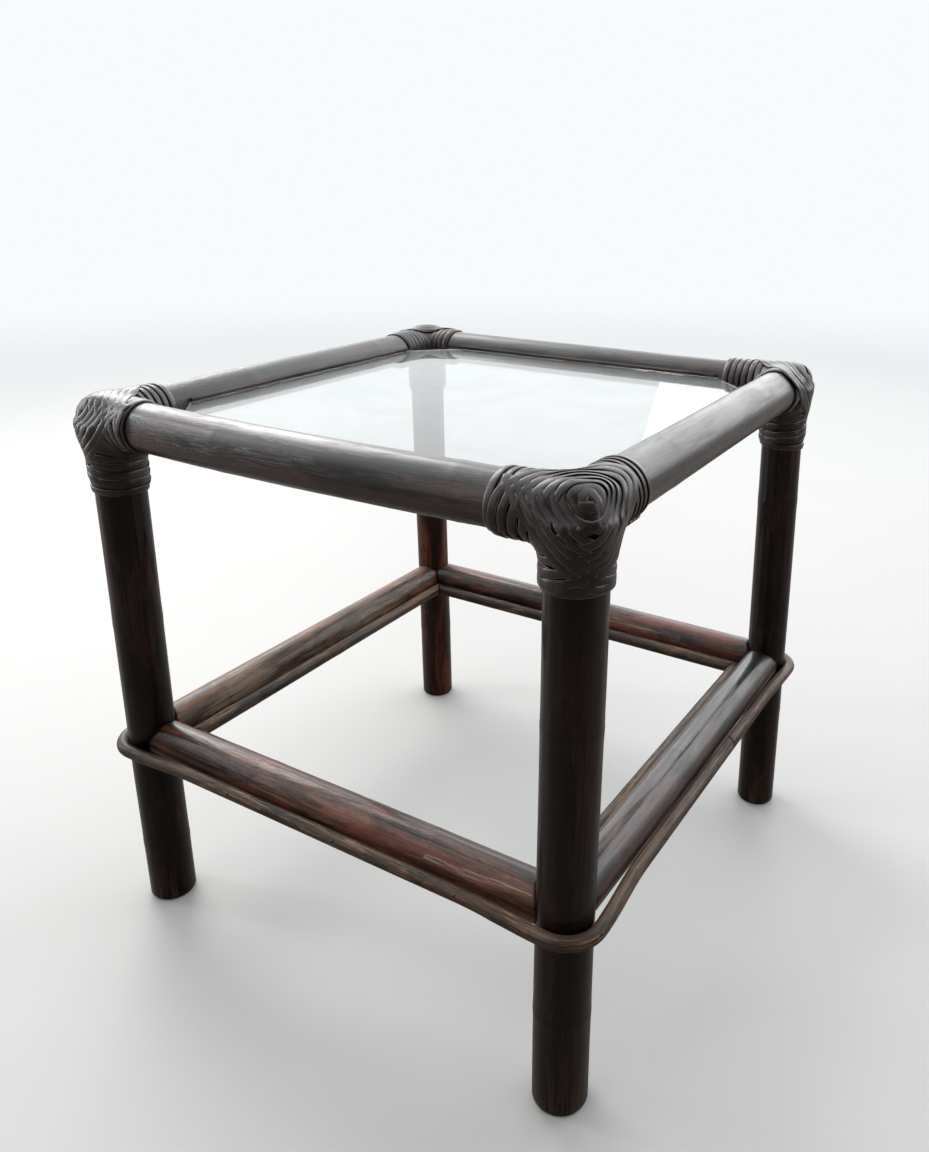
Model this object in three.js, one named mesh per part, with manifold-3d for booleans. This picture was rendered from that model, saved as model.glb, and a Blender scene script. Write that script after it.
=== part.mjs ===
// Square side table of round rattan poles: four legs, four top rails bound at the corners with
// split-cane strips, an inset glass pane, and a lower frame of stretchers trimmed with thin canes.
// Millimetres, +Z up. The front is -Y and the right-hand side is +X. The feet stand on z = 0 and the
// origin is the centre of the object's footprint.

import * as THREE from 'three';
import { mergeVertices } from 'three/addons/utils/BufferGeometryUtils.js';
import Module from 'manifold-3d';

const wasm = await Module();
wasm.setup();

// ---- driving dimensions ----

const GAP = 0.3;                  // clearance kept between touching pieces
const AXIS_SPACING = 446;         // leg axis to leg axis, both ways, at the height of the top rails
const RAIL_HEIGHT = 480;          // axis of the top rails above the floor
const RAIL_RADIUS = 20.5;
const FRONT_RAIL_BOW = 8;         // the front rail bows outward by this much at its middle

const STRETCHER_HEIGHT = 175;     // axis of the lower poles
const STRETCHER_RADIUS = 18;
const STRETCHER_INSET = 1;        // the lower poles lie this far inside the line between leg axes

const HOOP_RADIUS = 5.75;         // the outer cane that runs round all four legs
const HOOP_HEIGHT = 170.5;
const HOOP_EASE = 80;             // length over which it eases from a leg to the stretcher
const SPLICE_AT = 0.62;           // where its two ends meet, along the right side from the front
const SPLICE_GAP = 0.6;

const INNER_CANE_RADIUS = 6.4;
const INNER_CANE_HEIGHT = 168.5;
const CANE_GAP = 0.9;             // the canes lie this close beside the stretchers

const GLASS_TOP = RAIL_HEIGHT + 5;
const GLASS_THICKNESS = 6;
const GLASS_CORNER_CUT = 86;      // the cut corner passes where the distances to both rails add up to this
const LEDGE_RADIUS = 4;           // cane under the edge of the glass
const BEAD_RADIUS = 1.8;          // thin cane over the edge of the glass
const STRIP_START = 66;           // ledge and bead start this far from the corner axis

const KNOT_REACH = 40;            // the woven corner covers the poles to here, where the binding goes on
const BINDING_THICKNESS = 2.6;
const KNOT_THICKNESS = 3.6;
const KNOT_BULGE = 31.5;          // half-width of the knot across its outer corner
const KNOT_BULGE_HEIGHT = 25;

const DOWEL_RADIUS = 5;
const CORNER_DOWEL_BOTTOM = 420;
const CORNER_DOWEL_TOP = 491;
const STRETCHER_DOWEL_RADIUS = 4;
const STRETCHER_DOWEL_START = 7;  // from the leg's axis
const STRETCHER_DOWEL_END = 46;

const ROUND = 24;                 // sides of a thick pole
const THIN_ROUND = 10;            // sides of a thin cane

const HALF = AXIS_SPACING / 2;
const LEG_TOP = RAIL_HEIGHT - RAIL_RADIUS - GAP;

// Each leg is its own natural pole: it has its own thickness, and its foot stands a little off
// the point below its top. `reach` is how far from the corner the binding covers the rail along x,
// the rail along y and the leg.
const CORNERS = {
  front_right: { x: 1, y: -1, radius: 21.8, foot: [-2.5, -2.2], reach: { x: 54, y: 61, z: 49 } },
  front_left: { x: -1, y: -1, radius: 21.3, foot: [1.5, -2.1], reach: { x: 46, y: 51, z: 61 } },
  back_right: { x: 1, y: 1, radius: 19.8, foot: [9, 0.3], reach: { x: 61, y: 38, z: 61 } },
  back_left: { x: -1, y: 1, radius: 19.5, foot: [0.5, 4.7], reach: { x: 46, y: 62, z: 58 } },
};

// Each side runs from one corner to the next; `out` points away from the table's middle.
const SIDES = {
  front: { from: 'front_left', to: 'front_right', out: [0, -1], bow: FRONT_RAIL_BOW },
  right: { from: 'front_right', to: 'back_right', out: [1, 0], bow: 0 },
  back: { from: 'back_right', to: 'back_left', out: [0, 1], bow: 0 },
  left: { from: 'back_left', to: 'front_left', out: [-1, 0], bow: 0 },
};

// ---- materials ----

function material(color, roughness, metalness = 0) {
  return new THREE.MeshStandardMaterial({ color, roughness, metalness });
}

const LOOKS = {
  leg: () => material(0x2a1714, 0.3),
  rail: () => material(0x5a4038, 0.3),
  stretcher: () => material(0x6e4a3a, 0.35),
  cane: () => material(0x8c6c50, 0.5),
  binding: () => material(0x3a3432, 0.45),
  strip: () => material(0x8a827a, 0.5),
  dowel: () => material(0xb08a5a, 0.7),
  glass: () => new THREE.MeshStandardMaterial({
    color: 0xd8ecec, roughness: 0.03, metalness: 0, transparent: true, opacity: 0.35,
  }),
};

const group = new THREE.Group();

function add(name, geometry, look) {
  const mesh = new THREE.Mesh(geometry, LOOKS[look]());
  mesh.name = name;
  group.add(mesh);
  return mesh;
}

// ---- solids and booleans ----

function toSolid(geometry) {
  let bare = geometry.clone();
  bare.deleteAttribute('normal');
  bare.deleteAttribute('uv');
  bare = mergeVertices(bare, 1e-4);
  return new wasm.Manifold(new wasm.Mesh({
    numProp: 3,
    vertProperties: new Float32Array(bare.attributes.position.array),
    triVerts: new Uint32Array(bare.index.array),
  }));
}

function toGeometry(solid) {
  const mesh = solid.getMesh();
  const geometry = new THREE.BufferGeometry();
  geometry.setAttribute('position', new THREE.BufferAttribute(new Float32Array(mesh.vertProperties), 3));
  geometry.setIndex(new THREE.BufferAttribute(new Uint32Array(mesh.triVerts), 1));
  geometry.computeVertexNormals();
  return geometry;
}

function cut(geometry, ...tools) {
  return toGeometry(tools.reduce((solid, tool) => solid.subtract(toSolid(tool)), toSolid(geometry)));
}

function join(...geometries) {
  return toGeometry(geometries.map(toSolid).reduce((sum, solid) => sum.add(solid)));
}

// A round bar standing on z = 0 with small chamfers at both ends.
function bar(radius, length, chamfer = 0, sides = ROUND) {
  const profile = [
    new THREE.Vector2(0, 0),
    new THREE.Vector2(radius - chamfer, 0),
    new THREE.Vector2(radius, chamfer),
    new THREE.Vector2(radius, length - chamfer),
    new THREE.Vector2(radius - chamfer, length),
    new THREE.Vector2(0, length),
  ];
  const points = chamfer > 0 ? profile : [profile[0], profile[1], profile[4], profile[5]];
  return new THREE.LatheGeometry(points, sides).rotateX(Math.PI / 2);
}

// A sleeve standing on z = 0.
function sleeve(inner, outer, length, sides = ROUND) {
  const corners = [[inner, 0], [outer, 0], [outer, length], [inner, length], [inner, 0]];
  const profile = corners.map(([r, z]) => new THREE.Vector2(r, z));
  return new THREE.LatheGeometry(profile, sides).rotateX(Math.PI / 2);
}

// A path that passes through every given point, one extrusion step per point.
class StationPath extends THREE.Curve {
  constructor(stations) {
    super();
    this.stations = stations;
  }

  station(index) {
    const last = this.stations.length - 1;
    return this.stations[Math.min(last, Math.max(0, index))];
  }

  getPoint(t) {
    const place = t * (this.stations.length - 1);
    const index = Math.min(this.stations.length - 2, Math.floor(place));
    return this.station(index).clone().lerp(this.station(index + 1), place - index);
  }

  getPointAt(u) {
    return this.getPoint(u);
  }

  getTangentAt(u) {
    const index = Math.round(u * (this.stations.length - 1));
    return this.station(index + 1).clone().sub(this.station(index - 1)).normalize();
  }
}

function circle(radius, sides) {
  const points = [];
  for (let i = 0; i < sides; i += 1) {
    const angle = (2 * Math.PI * i) / sides;
    points.push(new THREE.Vector2(radius * Math.cos(angle), radius * Math.sin(angle)));
  }
  return new THREE.Shape(points);
}

function sweep(stations, radius, sides) {
  return new THREE.ExtrudeGeometry(circle(radius, sides), {
    steps: stations.length - 1,
    extrudePath: new StationPath(stations),
    bevelEnabled: false,
  });
}

// ---- places ----

function cornerTop(corner) {
  return new THREE.Vector3(corner.x * HALF, corner.y * HALF, RAIL_HEIGHT);
}

// The centre of a leg at height z.
function legCentre(corner, z) {
  const lean = 1 - z / RAIL_HEIGHT;
  return new THREE.Vector3(
    corner.x * HALF + corner.foot[0] * lean,
    corner.y * HALF + corner.foot[1] * lean,
    z,
  );
}

// Moves a geometry built about the z axis onto a leg, leaning as the leg leans. Level faces stay level.
function ontoLeg(geometry, corner, bottom) {
  const [dx, dy] = corner.foot;
  const foot = legCentre(corner, 0);
  const shear = new THREE.Matrix4().set(
    1, 0, -dx / RAIL_HEIGHT, foot.x,
    0, 1, -dy / RAIL_HEIGHT, foot.y,
    0, 0, 1, 0,
    0, 0, 0, 1,
  );
  return geometry.translate(0, 0, bottom).applyMatrix4(shear);
}

// A point on a side, `along` from its first corner and `outward` of the line between the corners.
function sidePoint(side, along, outward, z) {
  const start = cornerTop(CORNERS[side.from]);
  const end = cornerTop(CORNERS[side.to]);
  const point = start.clone().lerp(end, along / AXIS_SPACING);
  return new THREE.Vector3(point.x + side.out[0] * outward, point.y + side.out[1] * outward, z);
}

function bowAt(side, along) {
  const t = along / AXIS_SPACING;
  return side.bow * 4 * t * (1 - t);
}

// Stations along a top rail or a strip beside it. A bowed side needs more of them.
function railLine(side, from, to, outward, z) {
  const steps = side.bow > 0 ? 8 : 1;
  const stations = [];
  for (let i = 0; i <= steps; i += 1) {
    const along = from + ((to - from) * i) / steps;
    stations.push(sidePoint(side, along, outward + bowAt(side, along), z));
  }
  return stations;
}

// The level direction from a corner along one of its sides.
function directionFrom(side, name) {
  const start = cornerTop(CORNERS[side.from]);
  const along = cornerTop(CORNERS[side.to]).sub(start).normalize();
  return side.from === name ? along : along.negate();
}

// A block that takes away what a side has past the diagonal of a corner. `past` is how far beyond
// that diagonal the kept part still runs; two mitred pieces each stop short of it.
function mitreBlock(side, name, centre, past = -GAP / 2) {
  const size = 400;
  const along = directionFrom(side, name);
  const across = new THREE.Vector3(-side.out[0], -side.out[1], 0);
  const away = across.sub(along).normalize();
  const block = new THREE.BoxGeometry(size, size, size).rotateZ(Math.atan2(away.y, away.x));
  const middle = centre.clone().addScaledVector(away, size / 2 + past);
  return block.translate(middle.x, middle.y, middle.z);
}

// ---- legs and their dowels ----

const legBores = Object.fromEntries(Object.keys(CORNERS).map((key) => [key, []]));
const stretcherBores = Object.fromEntries(Object.keys(SIDES).map((key) => [key, []]));

// Turns a bar that stands on z = 0 so that it starts at a point and runs along a level direction.
function lay(geometry, start, direction) {
  const turn = new THREE.Quaternion().setFromUnitVectors(new THREE.Vector3(0, 0, 1), direction);
  return geometry.applyQuaternion(turn).translate(start.x, start.y, start.z);
}

function addStretcherDowel(sideName, cornerName, direction) {
  const side = SIDES[sideName];
  const centre = legCentre(CORNERS[cornerName], STRETCHER_HEIGHT);
  const start = centre.clone().addScaledVector(direction, STRETCHER_DOWEL_START);
  start.x -= side.out[0] * STRETCHER_INSET;
  start.y -= side.out[1] * STRETCHER_INSET;
  const length = STRETCHER_DOWEL_END - STRETCHER_DOWEL_START;
  const boreStart = start.clone().addScaledVector(direction, -GAP);
  const bore = lay(bar(STRETCHER_DOWEL_RADIUS + GAP, length + 2 * GAP, 0, THIN_ROUND), boreStart, direction);
  legBores[cornerName].push(bore);
  stretcherBores[sideName].push(bore);
  const dowel = lay(bar(STRETCHER_DOWEL_RADIUS, length, 0.8, THIN_ROUND), start, direction);
  add(`stretcher_dowel_${sideName}_${cornerName}`, dowel, 'dowel');
}

for (const [sideName, side] of Object.entries(SIDES)) {
  const start = legCentre(CORNERS[side.from], STRETCHER_HEIGHT);
  const end = legCentre(CORNERS[side.to], STRETCHER_HEIGHT);
  const direction = end.sub(start).normalize();
  addStretcherDowel(sideName, side.from, direction);
  addStretcherDowel(sideName, side.to, direction.clone().negate());
}

function cornerBore(corner) {
  const length = CORNER_DOWEL_TOP - CORNER_DOWEL_BOTTOM + 2 * GAP;
  return ontoLeg(bar(DOWEL_RADIUS + GAP, length, 0, THIN_ROUND), corner, CORNER_DOWEL_BOTTOM - GAP);
}

for (const [name, corner] of Object.entries(CORNERS)) {
  const pole = ontoLeg(bar(corner.radius, LEG_TOP, 1.5), corner, 0);
  add(`leg_${name}`, cut(pole, cornerBore(corner), ...legBores[name]), 'leg');
  const length = CORNER_DOWEL_TOP - CORNER_DOWEL_BOTTOM;
  const dowel = ontoLeg(bar(DOWEL_RADIUS, length, 1, THIN_ROUND), corner, CORNER_DOWEL_BOTTOM);
  add(`corner_dowel_${name}`, dowel, 'dowel');
}

// ---- top rails, mitred over the legs ----

const OVERRUN = 34;               // a rail is made this much too long and then mitred

for (const [name, side] of Object.entries(SIDES)) {
  const from = CORNERS[side.from];
  const to = CORNERS[side.to];
  const line = railLine(side, -OVERRUN, AXIS_SPACING + OVERRUN, 0, RAIL_HEIGHT);
  const rail = cut(
    sweep(line, RAIL_RADIUS, ROUND),
    mitreBlock(side, side.from, cornerTop(from)),
    mitreBlock(side, side.to, cornerTop(to)),
    cornerBore(from),
    cornerBore(to),
  );
  add(`rail_${name}`, rail, 'rail');
}

// ---- glass, with the canes above and below its edge ----

// How far inside the rail's axis a round strip lies when it touches the rail at height z.
function touching(radius, z) {
  return Math.sqrt((RAIL_RADIUS + GAP + radius) ** 2 - (z - RAIL_HEIGHT) ** 2);
}

const ledgeZ = GLASS_TOP - GLASS_THICKNESS - GAP - LEDGE_RADIUS;
const beadZ = GLASS_TOP + GAP + BEAD_RADIUS;

for (const [name, side] of Object.entries(SIDES)) {
  const end = AXIS_SPACING - STRIP_START;
  const ledge = railLine(side, STRIP_START, end, -touching(LEDGE_RADIUS, ledgeZ), ledgeZ);
  add(`glass_ledge_${name}`, sweep(ledge, LEDGE_RADIUS, THIN_ROUND), 'strip');
  const bead = railLine(side, STRIP_START, end, -touching(BEAD_RADIUS, beadZ), beadZ);
  add(`glass_bead_${name}`, sweep(bead, BEAD_RADIUS, THIN_ROUND), 'strip');
}

function glassOutline() {
  const inset = RAIL_RADIUS + 2 * GAP;
  const cornerAlong = GLASS_CORNER_CUT - inset;
  const outline = [];
  for (const side of Object.values(SIDES)) {
    for (const point of railLine(side, cornerAlong, AXIS_SPACING - cornerAlong, -inset, 0)) {
      outline.push(new THREE.Vector2(point.x, point.y));
    }
  }
  return new THREE.Shape(outline);
}

const arris = 0.6;                // ground edge of the pane
const pane = new THREE.ExtrudeGeometry(glassOutline(), {
  depth: GLASS_THICKNESS - 2 * arris,
  bevelEnabled: true,
  bevelSegments: 1,
  bevelThickness: arris,
  bevelSize: arris,
  bevelOffset: -arris,
});
add('glass_top', pane.translate(0, 0, GLASS_TOP - GLASS_THICKNESS + arris), 'glass');

// ---- corner knots and the plain turns beyond them ----

function sidesAt(name) {
  return Object.entries(SIDES).filter(([, side]) => side.from === name || side.to === name);
}

// How far the binding of a corner covers one of its sides.
function reachOver(side, corner) {
  return side.out[0] === 0 ? corner.reach.x : corner.reach.y;
}

// The room that the poles and the dowel take inside a knot.
function cornerRoom(name) {
  const corner = CORNERS[name];
  const tools = [ontoLeg(bar(corner.radius + GAP, RAIL_HEIGHT, 0), corner, 0), cornerBore(corner)];
  for (const [, side] of sidesAt(name)) {
    const line = railLine(side, -OVERRUN, AXIS_SPACING + OVERRUN, 0, RAIL_HEIGHT);
    const pole = sweep(line, RAIL_RADIUS + GAP, ROUND);
    tools.push(cut(pole, mitreBlock(side, name, cornerTop(corner), GAP)));
  }
  return tools;
}

function addKnot(name) {
  const corner = CORNERS[name];
  const top = cornerTop(corner);
  const bulge = new THREE.SphereGeometry(KNOT_BULGE, ROUND, 12);
  bulge.rotateX(Math.PI / 2).scale(1, 1, KNOT_BULGE_HEIGHT / KNOT_BULGE).translate(top.x, top.y, top.z);
  const legSkin = bar(corner.radius + KNOT_THICKNESS, KNOT_REACH, 0);
  const skins = [ontoLeg(legSkin, corner, RAIL_HEIGHT - KNOT_REACH)];
  for (const [, side] of sidesAt(name)) {
    const reach = Math.min(KNOT_REACH, reachOver(side, corner));
    const start = side.from === name ? 0 : AXIS_SPACING - reach;
    const line = railLine(side, start, start + reach, 0, RAIL_HEIGHT);
    skins.push(sweep(line, RAIL_RADIUS + KNOT_THICKNESS, ROUND));
  }
  add(`corner_knot_${name}`, cut(join(bulge, ...skins), ...cornerRoom(name)), 'binding');
}

function turnsLength(reach) {
  return reach - KNOT_REACH - 3 * GAP;
}

function addTurns(name) {
  const corner = CORNERS[name];
  const legLength = turnsLength(corner.reach.z);
  const legTurns = sleeve(corner.radius + GAP, corner.radius + BINDING_THICKNESS, legLength);
  add(`leg_binding_${name}`, ontoLeg(legTurns, corner, RAIL_HEIGHT - corner.reach.z), 'binding');
  for (const [sideName, side] of sidesAt(name)) {
    const reach = reachOver(side, corner);
    if (reach > KNOT_REACH) {
      const place = (distance) => {
        const along = side.from === name ? distance : AXIS_SPACING - distance;
        return sidePoint(side, along, bowAt(side, along), RAIL_HEIGHT);
      };
      const start = place(KNOT_REACH + 2 * GAP);
      const direction = place(reach).sub(start).normalize();
      const turns = sleeve(RAIL_RADIUS + GAP, RAIL_RADIUS + BINDING_THICKNESS, turnsLength(reach));
      add(`rail_binding_${sideName}_${name}`, lay(turns, start, direction), 'binding');
    }
  }
}

for (const name of Object.keys(CORNERS)) {
  addKnot(name);
  addTurns(name);
}

// ---- stretchers, coped round the legs and mitred against each other ----

for (const [name, side] of Object.entries(SIDES)) {
  const from = CORNERS[side.from];
  const to = CORNERS[side.to];
  const inward = new THREE.Vector3(-side.out[0], -side.out[1], 0).multiplyScalar(STRETCHER_INSET);
  const start = legCentre(from, STRETCHER_HEIGHT);
  const end = legCentre(to, STRETCHER_HEIGHT);
  const stretcher = cut(
    sweep([start.clone().add(inward), end.clone().add(inward)], STRETCHER_RADIUS, ROUND),
    ontoLeg(bar(from.radius + GAP, RAIL_HEIGHT, 0), from, 0),
    ontoLeg(bar(to.radius + GAP, RAIL_HEIGHT, 0), to, 0),
    mitreBlock(side, side.from, start),
    mitreBlock(side, side.to, end),
    ...stretcherBores[name],
  );
  add(`stretcher_${name}`, stretcher, 'stretcher');
}

// ---- thin canes of the lower frame ----

// How far outside the stretcher's axis a thin cane at height z lies when it touches the stretcher.
function besideStretcher(radius, z) {
  return Math.sqrt((STRETCHER_RADIUS + CANE_GAP + radius) ** 2 - (z - STRETCHER_HEIGHT) ** 2);
}

// Inner canes: a closed square frame with mitred corners.
const innerReach = besideStretcher(INNER_CANE_RADIUS, INNER_CANE_HEIGHT) + STRETCHER_INSET;

function innerCorner(name) {
  const corner = CORNERS[name];
  const point = legCentre(corner, INNER_CANE_HEIGHT);
  return new THREE.Vector3(point.x - corner.x * innerReach, point.y - corner.y * innerReach, point.z);
}

for (const [name, side] of Object.entries(SIDES)) {
  const start = innerCorner(side.from);
  const end = innerCorner(side.to);
  const along = end.clone().sub(start).normalize();
  const spare = 2 * INNER_CANE_RADIUS;
  const line = [start.clone().addScaledVector(along, -spare), end.clone().addScaledVector(along, spare)];
  const cane = cut(
    sweep(line, INNER_CANE_RADIUS, THIN_ROUND),
    mitreBlock(side, side.from, start),
    mitreBlock(side, side.to, end),
  );
  add(`inner_cane_${name}`, cane, 'cane');
}

// The outer hoop: one cane bent round the outside of every leg. Its ends meet on the right side.
function hoopRadiusAt(name) {
  return CORNERS[name].radius + GAP + HOOP_RADIUS;
}

function hoopSide(side, from, to) {
  const start = legCentre(CORNERS[side.from], HOOP_HEIGHT);
  const end = legCentre(CORNERS[side.to], HOOP_HEIGHT);
  const length = start.distanceTo(end);
  const rest = besideStretcher(HOOP_RADIUS, HOOP_HEIGHT) - STRETCHER_INSET;
  const ease = (distance) => {
    return distance < HOOP_EASE ? (1 + Math.cos((Math.PI * distance) / HOOP_EASE)) / 2 : 0;
  };
  const steps = [0, 20, 40, 60, HOOP_EASE, length / 3, length / 2];
  const places = [...steps, ...steps.slice(0, -1).reverse().map((s) => length - s)];
  const kept = places.filter((s) => s > from * length && s < to * length);
  const ends = [from * length, ...kept, to * length];
  return ends.map((s) => {
    const out = rest + (hoopRadiusAt(side.from) - rest) * ease(s)
      + (hoopRadiusAt(side.to) - rest) * ease(length - s);
    const point = start.clone().lerp(end, s / length);
    return new THREE.Vector3(point.x + side.out[0] * out, point.y + side.out[1] * out, HOOP_HEIGHT);
  });
}

function hoopCorner(name, sideBefore, sideAfter) {
  const centre = legCentre(CORNERS[name], HOOP_HEIGHT);
  const radius = hoopRadiusAt(name);
  const before = Math.atan2(sideBefore.out[1], sideBefore.out[0]);
  const turn = Math.atan2(
    sideBefore.out[0] * sideAfter.out[1] - sideBefore.out[1] * sideAfter.out[0],
    sideBefore.out[0] * sideAfter.out[0] + sideBefore.out[1] * sideAfter.out[1],
  );
  const steps = 6;
  const points = [];
  for (let i = 1; i < steps; i += 1) {
    const angle = before + (turn * i) / steps;
    points.push(new THREE.Vector3(
      centre.x + radius * Math.cos(angle),
      centre.y + radius * Math.sin(angle),
      HOOP_HEIGHT,
    ));
  }
  return points;
}

const halfSplice = SPLICE_GAP / 2 / AXIS_SPACING;
const hoopLine = [
  ...hoopSide(SIDES.right, SPLICE_AT + halfSplice, 1),
  ...hoopCorner('back_right', SIDES.right, SIDES.back),
  ...hoopSide(SIDES.back, 0, 1),
  ...hoopCorner('back_left', SIDES.back, SIDES.left),
  ...hoopSide(SIDES.left, 0, 1),
  ...hoopCorner('front_left', SIDES.left, SIDES.front),
  ...hoopSide(SIDES.front, 0, 1),
  ...hoopCorner('front_right', SIDES.front, SIDES.right),
  ...hoopSide(SIDES.right, 0, SPLICE_AT - halfSplice),
];
add('outer_hoop', sweep(hoopLine, HOOP_RADIUS, THIN_ROUND), 'cane');

// ---- origin at the middle of the footprint ----

group.updateMatrixWorld(true);
const extent = new THREE.Box3().setFromObject(group, true);
const middle = extent.getCenter(new THREE.Vector3());
group.position.set(-middle.x, -middle.y, -extent.min.z);

export default group;
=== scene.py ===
# Looks of the square rattan side table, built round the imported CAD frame.
# Lengths are worked out in millimetres about the middle of the four leg tops, and turned into the
# frame's metres when a mesh is made.
import math

import bmesh
import bpy
import numpy as np
from mathutils import Matrix, Vector, kdtree


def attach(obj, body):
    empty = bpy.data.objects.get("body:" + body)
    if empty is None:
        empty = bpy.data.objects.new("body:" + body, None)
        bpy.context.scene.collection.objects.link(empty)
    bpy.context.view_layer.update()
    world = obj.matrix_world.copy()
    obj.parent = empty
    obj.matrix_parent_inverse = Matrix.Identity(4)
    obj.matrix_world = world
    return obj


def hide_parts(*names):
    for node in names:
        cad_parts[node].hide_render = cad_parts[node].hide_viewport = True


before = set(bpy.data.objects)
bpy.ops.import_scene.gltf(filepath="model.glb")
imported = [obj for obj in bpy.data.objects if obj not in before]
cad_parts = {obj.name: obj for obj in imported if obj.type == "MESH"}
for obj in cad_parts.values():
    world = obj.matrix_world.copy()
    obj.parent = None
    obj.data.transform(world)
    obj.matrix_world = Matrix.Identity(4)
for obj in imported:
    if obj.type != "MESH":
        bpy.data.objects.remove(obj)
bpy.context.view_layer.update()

# ---- driving dimensions, the same as the frame's, in millimetres ----

SHIFT = np.array([-2.6353, 0.3442, 0.0])  # from the middle of the leg tops to the frame's origin
SPACING = 446.0
HALF = SPACING / 2
GAP = 0.3
RAIL_Z = 480.0
RAIL_R = 20.5
FRONT_BOW = 8.0
LEG_TOP = RAIL_Z - RAIL_R - GAP
STRETCHER_Z = 175.0
STRETCHER_R = 18.0
STRETCHER_INSET = 1.0
HOOP_R = 5.75
HOOP_Z = 170.5
HOOP_EASE = 80.0
SPLICE_AT = 0.62
SPLICE_GAP = 0.6
INNER_R = 6.4
INNER_Z = 168.5
CANE_GAP = 0.9
GLASS_TOP = RAIL_Z + 5
GLASS_THICKNESS = 6.0
LEDGE_R = 4.0
BEAD_R = 1.8
STRIP_START = 66.0

RING_STEP = 3.0  # between the rings of points along a pole
END_HALVINGS = 34  # of the search for the place where a pole is cut
LEAST_CHAMFER = 0.4

# Signs of the corner, the leg's radius, how far its foot stands out, how far the binding reaches along
# each pole, the seed of its random numbers and the side where the strips' ends are hidden on the leg.
CORNERS = {
    "front_right": dict(x=1, y=-1, r=21.8, foot=(-2.5, -2.2), reach=dict(x=54, y=61, z=49),
                        seed=11, seam=45),
    "front_left": dict(x=-1, y=-1, r=21.3, foot=(1.5, -2.1), reach=dict(x=46, y=51, z=61),
                       seed=23, seam=90),
    "back_right": dict(x=1, y=1, r=19.8, foot=(9.0, 0.3), reach=dict(x=61, y=38, z=61),
                       seed=37, seam=270),
    "back_left": dict(x=-1, y=1, r=19.5, foot=(0.5, 4.7), reach=dict(x=46, y=62, z=58),
                      seed=41, seam=225),
}
SIDES = {
    "front": dict(a="front_left", b="front_right", out=(0, -1), bow=FRONT_BOW),
    "right": dict(a="front_right", b="back_right", out=(1, 0), bow=0.0),
    "back": dict(a="back_right", b="back_left", out=(0, 1), bow=0.0),
    "left": dict(a="back_left", b="front_left", out=(-1, 0), bow=0.0),
}


def unit(v):
    return v / np.maximum(np.linalg.norm(v, axis=-1, keepdims=True), 1e-9)


def corner_top(name):
    return np.array([CORNERS[name]["x"] * HALF, CORNERS[name]["y"] * HALF, RAIL_Z])


def leg_centre(name, z):
    c = CORNERS[name]
    lean = 1 - np.asarray(z, float) / RAIL_Z
    return np.stack([c["x"] * HALF + c["foot"][0] * lean, c["y"] * HALF + c["foot"][1] * lean,
                     np.asarray(z, float) + 0 * lean], -1)


# ---- meshes ----


def add_object(name, data):
    obj = bpy.data.objects.new(name, data)
    bpy.context.scene.collection.objects.link(obj)
    return obj


def make_mesh(name, verts, faces, attributes, body_slot, material, replaced=()):
    """A piece from points in millimetres, with its surface coordinates kept as point attributes."""
    mesh = bpy.data.meshes.new(name)
    mesh.from_pydata(((verts + SHIFT) / 1000).tolist(), [], faces)
    for key, values in attributes.items():
        values = np.asarray(values, np.float32)
        if values.ndim == 1:
            mesh.attributes.new(key, "FLOAT", "POINT").data.foreach_set("value", values)
        else:
            mesh.attributes.new(key, "FLOAT_VECTOR", "POINT").data.foreach_set("vector", values.ravel())
    mesh.polygons.foreach_set("use_smooth", [True] * len(mesh.polygons))
    mesh.validate()
    mesh.update()
    mesh.materials.append(material)
    obj = add_object(name, mesh)
    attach(obj, "root")
    if replaced:
        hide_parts(*replaced)


def arc_marks(line):
    """Distance along a line of points, at each of them."""
    return np.concatenate([[0], np.cumsum(np.linalg.norm(np.diff(line, axis=0), axis=1))])


def at_marks(s, marks, line):
    return np.stack([np.interp(s, marks, line[:, k]) for k in range(3)], -1)


def tube_faces(rings, sides):
    faces = []
    for i in range(rings - 1):
        for j in range(sides):
            k = (j + 1) % sides
            faces.append((i * sides + j, i * sides + k, (i + 1) * sides + k, (i + 1) * sides + j))
    return faces


def harmonics(rng, amplitude, waves):
    """A smooth random function of length and angle round a pole."""
    terms = [(rng.uniform(0.4, 1.0) / (k + 1), rng.uniform(*waves) * (k + 1), rng.uniform(0, 6.28),
              int(rng.integers(0, 3)), rng.uniform(0, 6.28)) for k in range(4)]
    scale = amplitude / sum(t[0] for t in terms)

    def value(s, angle):
        total = 0
        for a, w, p, n, q in terms:
            total = total + a * np.sin(s * w + p) * np.cos(n * angle + q)
        return scale * total
    return value


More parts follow.
